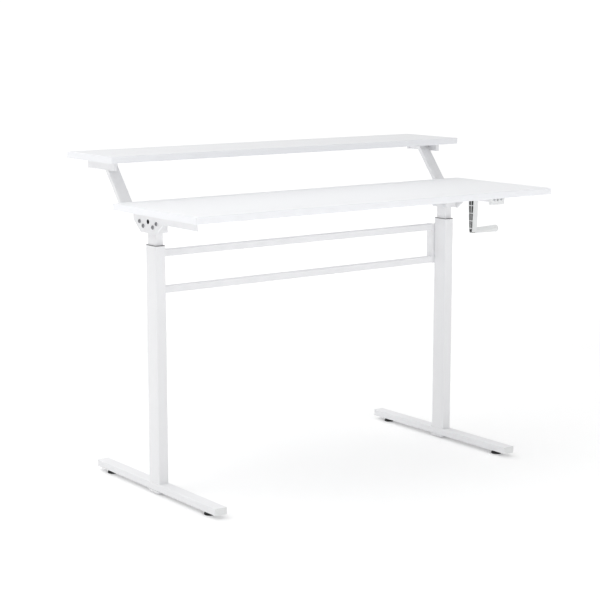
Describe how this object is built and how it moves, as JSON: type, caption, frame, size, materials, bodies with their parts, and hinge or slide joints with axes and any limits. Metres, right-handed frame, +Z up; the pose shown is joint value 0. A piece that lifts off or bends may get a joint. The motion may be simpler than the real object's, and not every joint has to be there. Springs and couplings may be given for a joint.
{
  "type": "height adjustable standing desk",
  "caption": "Sit-stand desk with a raised rear shelf on slanted arms, telescopic T-shaped legs joined by crossbars, and a side hand crank that raises both tiers.",
  "frame": {"origin": "on the floor, under the middle of the whole object's box, crank included", "axes": "+X to the sitter's right and towards the crank, +Y from the sitter to the shelf, +Z up"},
  "size_m": [1.3186, 0.6424, 0.8995],
  "materials": {
    "board": "white melamine, satin",
    "powder_coat": "white powder coat, satin",
    "zinc_steel": "zinc plated",
    "nut_brass": "turned",
    "white_plastic": "moulded, satin",
    "black_nylon": "moulded nylon"
  },
  "bodies": {
    "base": {"left_foot": "powder_coat", "right_foot": "powder_coat", "foot_end_caps": "white_plastic", "foot_inserts": "zinc_steel", "under_foot_plates": "powder_coat", "foot_bolts": "zinc_steel", "left_leg_tube": "powder_coat", "right_leg_tube": "powder_coat", "leg_blocks": "powder_coat", "left_guide_collar": "black_nylon", "right_guide_collar": "black_nylon", "left_nut_tube": "zinc_steel", "right_nut_tube": "zinc_steel", "spindle_nuts": "nut_brass", "upper_crossbar": "powder_coat", "lower_crossbar": "powder_coat", "crossbar_plugs": "powder_coat", "left_crossbar_angle": "powder_coat", "right_crossbar_angle": "powder_coat", "crossbar_bolts": "zinc_steel"},
    "lift": {"left_inner_tube": "powder_coat", "right_inner_tube": "powder_coat", "inner_tube_pads": "black_nylon", "left_gearbox_case": "powder_coat", "right_gearbox_case": "powder_coat", "gearbox_lids": "powder_coat", "case_screws": "zinc_steel", "spindle_bearings": "zinc_steel", "rod_bushes": "black_nylon", "left_side_bracket": "powder_coat", "right_side_bracket": "powder_coat", "bracket_bolts": "zinc_steel", "desktop": "board", "desktop_screws": "zinc_steel", "arm_plates": "powder_coat", "left_shelf_arm": "powder_coat", "right_shelf_arm": "powder_coat", "left_shelf_bracket": "powder_coat", "right_shelf_bracket": "powder_coat", "shelf": "board", "shelf_screws": "zinc_steel", "crank_park_block": "white_plastic", "park_screws": "zinc_steel"},
    "crank": {"cross_rod": "zinc_steel", "rod_clips": "zinc_steel", "left_pinion": "zinc_steel", "right_pinion": "zinc_steel", "crank_shaft": "zinc_steel", "crank_arm": "white_plastic", "grip_pin": "zinc_steel"},
    "crank_grip": {"crank_grip": "white_plastic"},
    "left_spindle": {"left_spindle": "zinc_steel", "left_spindle_gear": "zinc_steel"},
    "right_spindle": {"right_spindle": "zinc_steel", "right_spindle_gear": "zinc_steel"},
    "glide_front_left": {"glide_front_left": "black_nylon"},
    "glide_front_right": {"glide_front_right": "black_nylon"},
    "glide_rear_left": {"glide_rear_left": "black_nylon"},
    "glide_rear_right": {"glide_rear_right": "black_nylon"}
  },
  "joints": [
    {"name": "crank_turn", "type": "hinge", "parent": "lift", "child": "crank", "pos_m": [-0.05925, 0.02325, 0.731], "axis": [1, 0, 0], "range_deg": [-1441, 17101]},
    {"name": "desk_lift", "type": "slide", "parent": "base", "child": "lift", "axis": [0, 0, 1], "range_m": [-0.032, 0.38]},
    {"name": "left_spindle_turn", "type": "hinge", "parent": "lift", "child": "left_spindle", "pos_m": [-0.56175, 0.02325, 0.731], "axis": [0, 0, 1], "range_deg": [-1441, 17101]},
    {"name": "right_spindle_turn", "type": "hinge", "parent": "lift", "child": "right_spindle", "pos_m": [0.44325, 0.02325, 0.731], "axis": [0, 0, 1], "range_deg": [-1441, 17101]},
    {"name": "grip_spin", "type": "hinge", "parent": "crank", "child": "crank_grip", "pos_m": [0.61475, 0.02325, 0.622], "axis": [1, 0, 0], "continuous": true},
    {"name": "glide_front_left_screw", "type": "hinge", "parent": "base", "child": "glide_front_left", "pos_m": [-0.56175, -0.22075, 0], "axis": [0, 0, 1], "continuous": true},
    {"name": "glide_front_right_screw", "type": "hinge", "parent": "base", "child": "glide_front_right", "pos_m": [0.44325, -0.22075, 0], "axis": [0, 0, 1], "continuous": true},
    {"name": "glide_rear_left_screw", "type": "hinge", "parent": "base", "child": "glide_rear_left", "pos_m": [-0.56175, 0.26725, 0], "axis": [0, 0, 1], "continuous": true},
    {"name": "glide_rear_right_screw", "type": "hinge", "parent": "base", "child": "glide_rear_right", "pos_m": [0.44325, 0.26725, 0], "axis": [0, 0, 1], "continuous": true}
  ],
  "couplings": [
    {"joint": "crank_turn", "follows": "desk_lift", "rad_per_m": 785.4},
    {"joint": "left_spindle_turn", "follows": "desk_lift", "rad_per_m": 785.4},
    {"joint": "right_spindle_turn", "follows": "desk_lift", "rad_per_m": 785.4}
  ]
}
